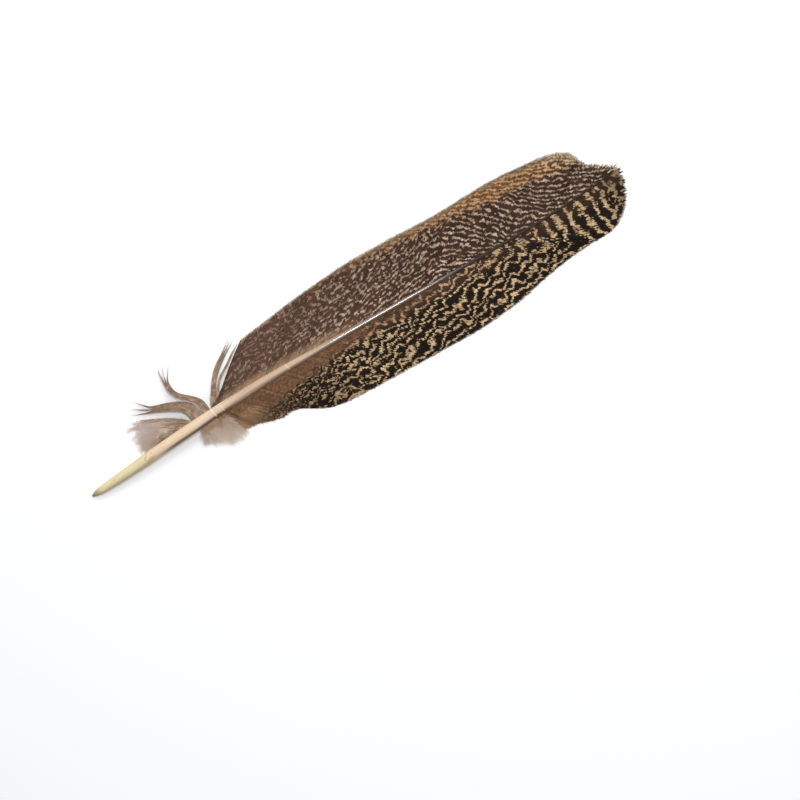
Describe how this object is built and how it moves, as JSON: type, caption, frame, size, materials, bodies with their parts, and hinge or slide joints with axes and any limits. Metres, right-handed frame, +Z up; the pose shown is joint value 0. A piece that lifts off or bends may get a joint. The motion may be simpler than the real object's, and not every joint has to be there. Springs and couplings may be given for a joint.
{
  "type": "pheasant feather",
  "caption": "Broad mottled brown flight or tail feather with a pale quill, an S-curved shaft, two barbed webs and loose barbs at its foot, lying flat with its back up.",
  "frame": {"origin": "middle of the feather's length and breadth, on the surface it lies on", "axes": "+X along the feather from the quill tip towards its point, +Y towards the left web seen from above with the point ahead, +Z up"},
  "size_m": [0.305, 0.0681, 0.0077],
  "materials": {
    "horn": "smooth translucent horn, straw yellow at the quill, cream along the shaft and dark brown at the point",
    "left_barbs": "fine satin barbs, dark greyish brown with thin pale wavy bars and an orange-buff margin near the point",
    "right_barbs": "fine satin barbs, chestnut beside the shaft, then near black with jagged buff flecks and bars",
    "down": "soft matt down, greyish brown with paler ends"
  },
  "bodies": {
    "root": {"shaft": "horn", "left_web": "left_barbs", "right_web": "right_barbs", "left_down_tuft": "down", "right_down_tuft": "down", "loose_strand_near_web": "left_barbs", "loose_strand_forward": "left_barbs", "loose_strand_upright": "left_barbs", "loose_strand_backward": "left_barbs"}
  },
  "joints": []
}
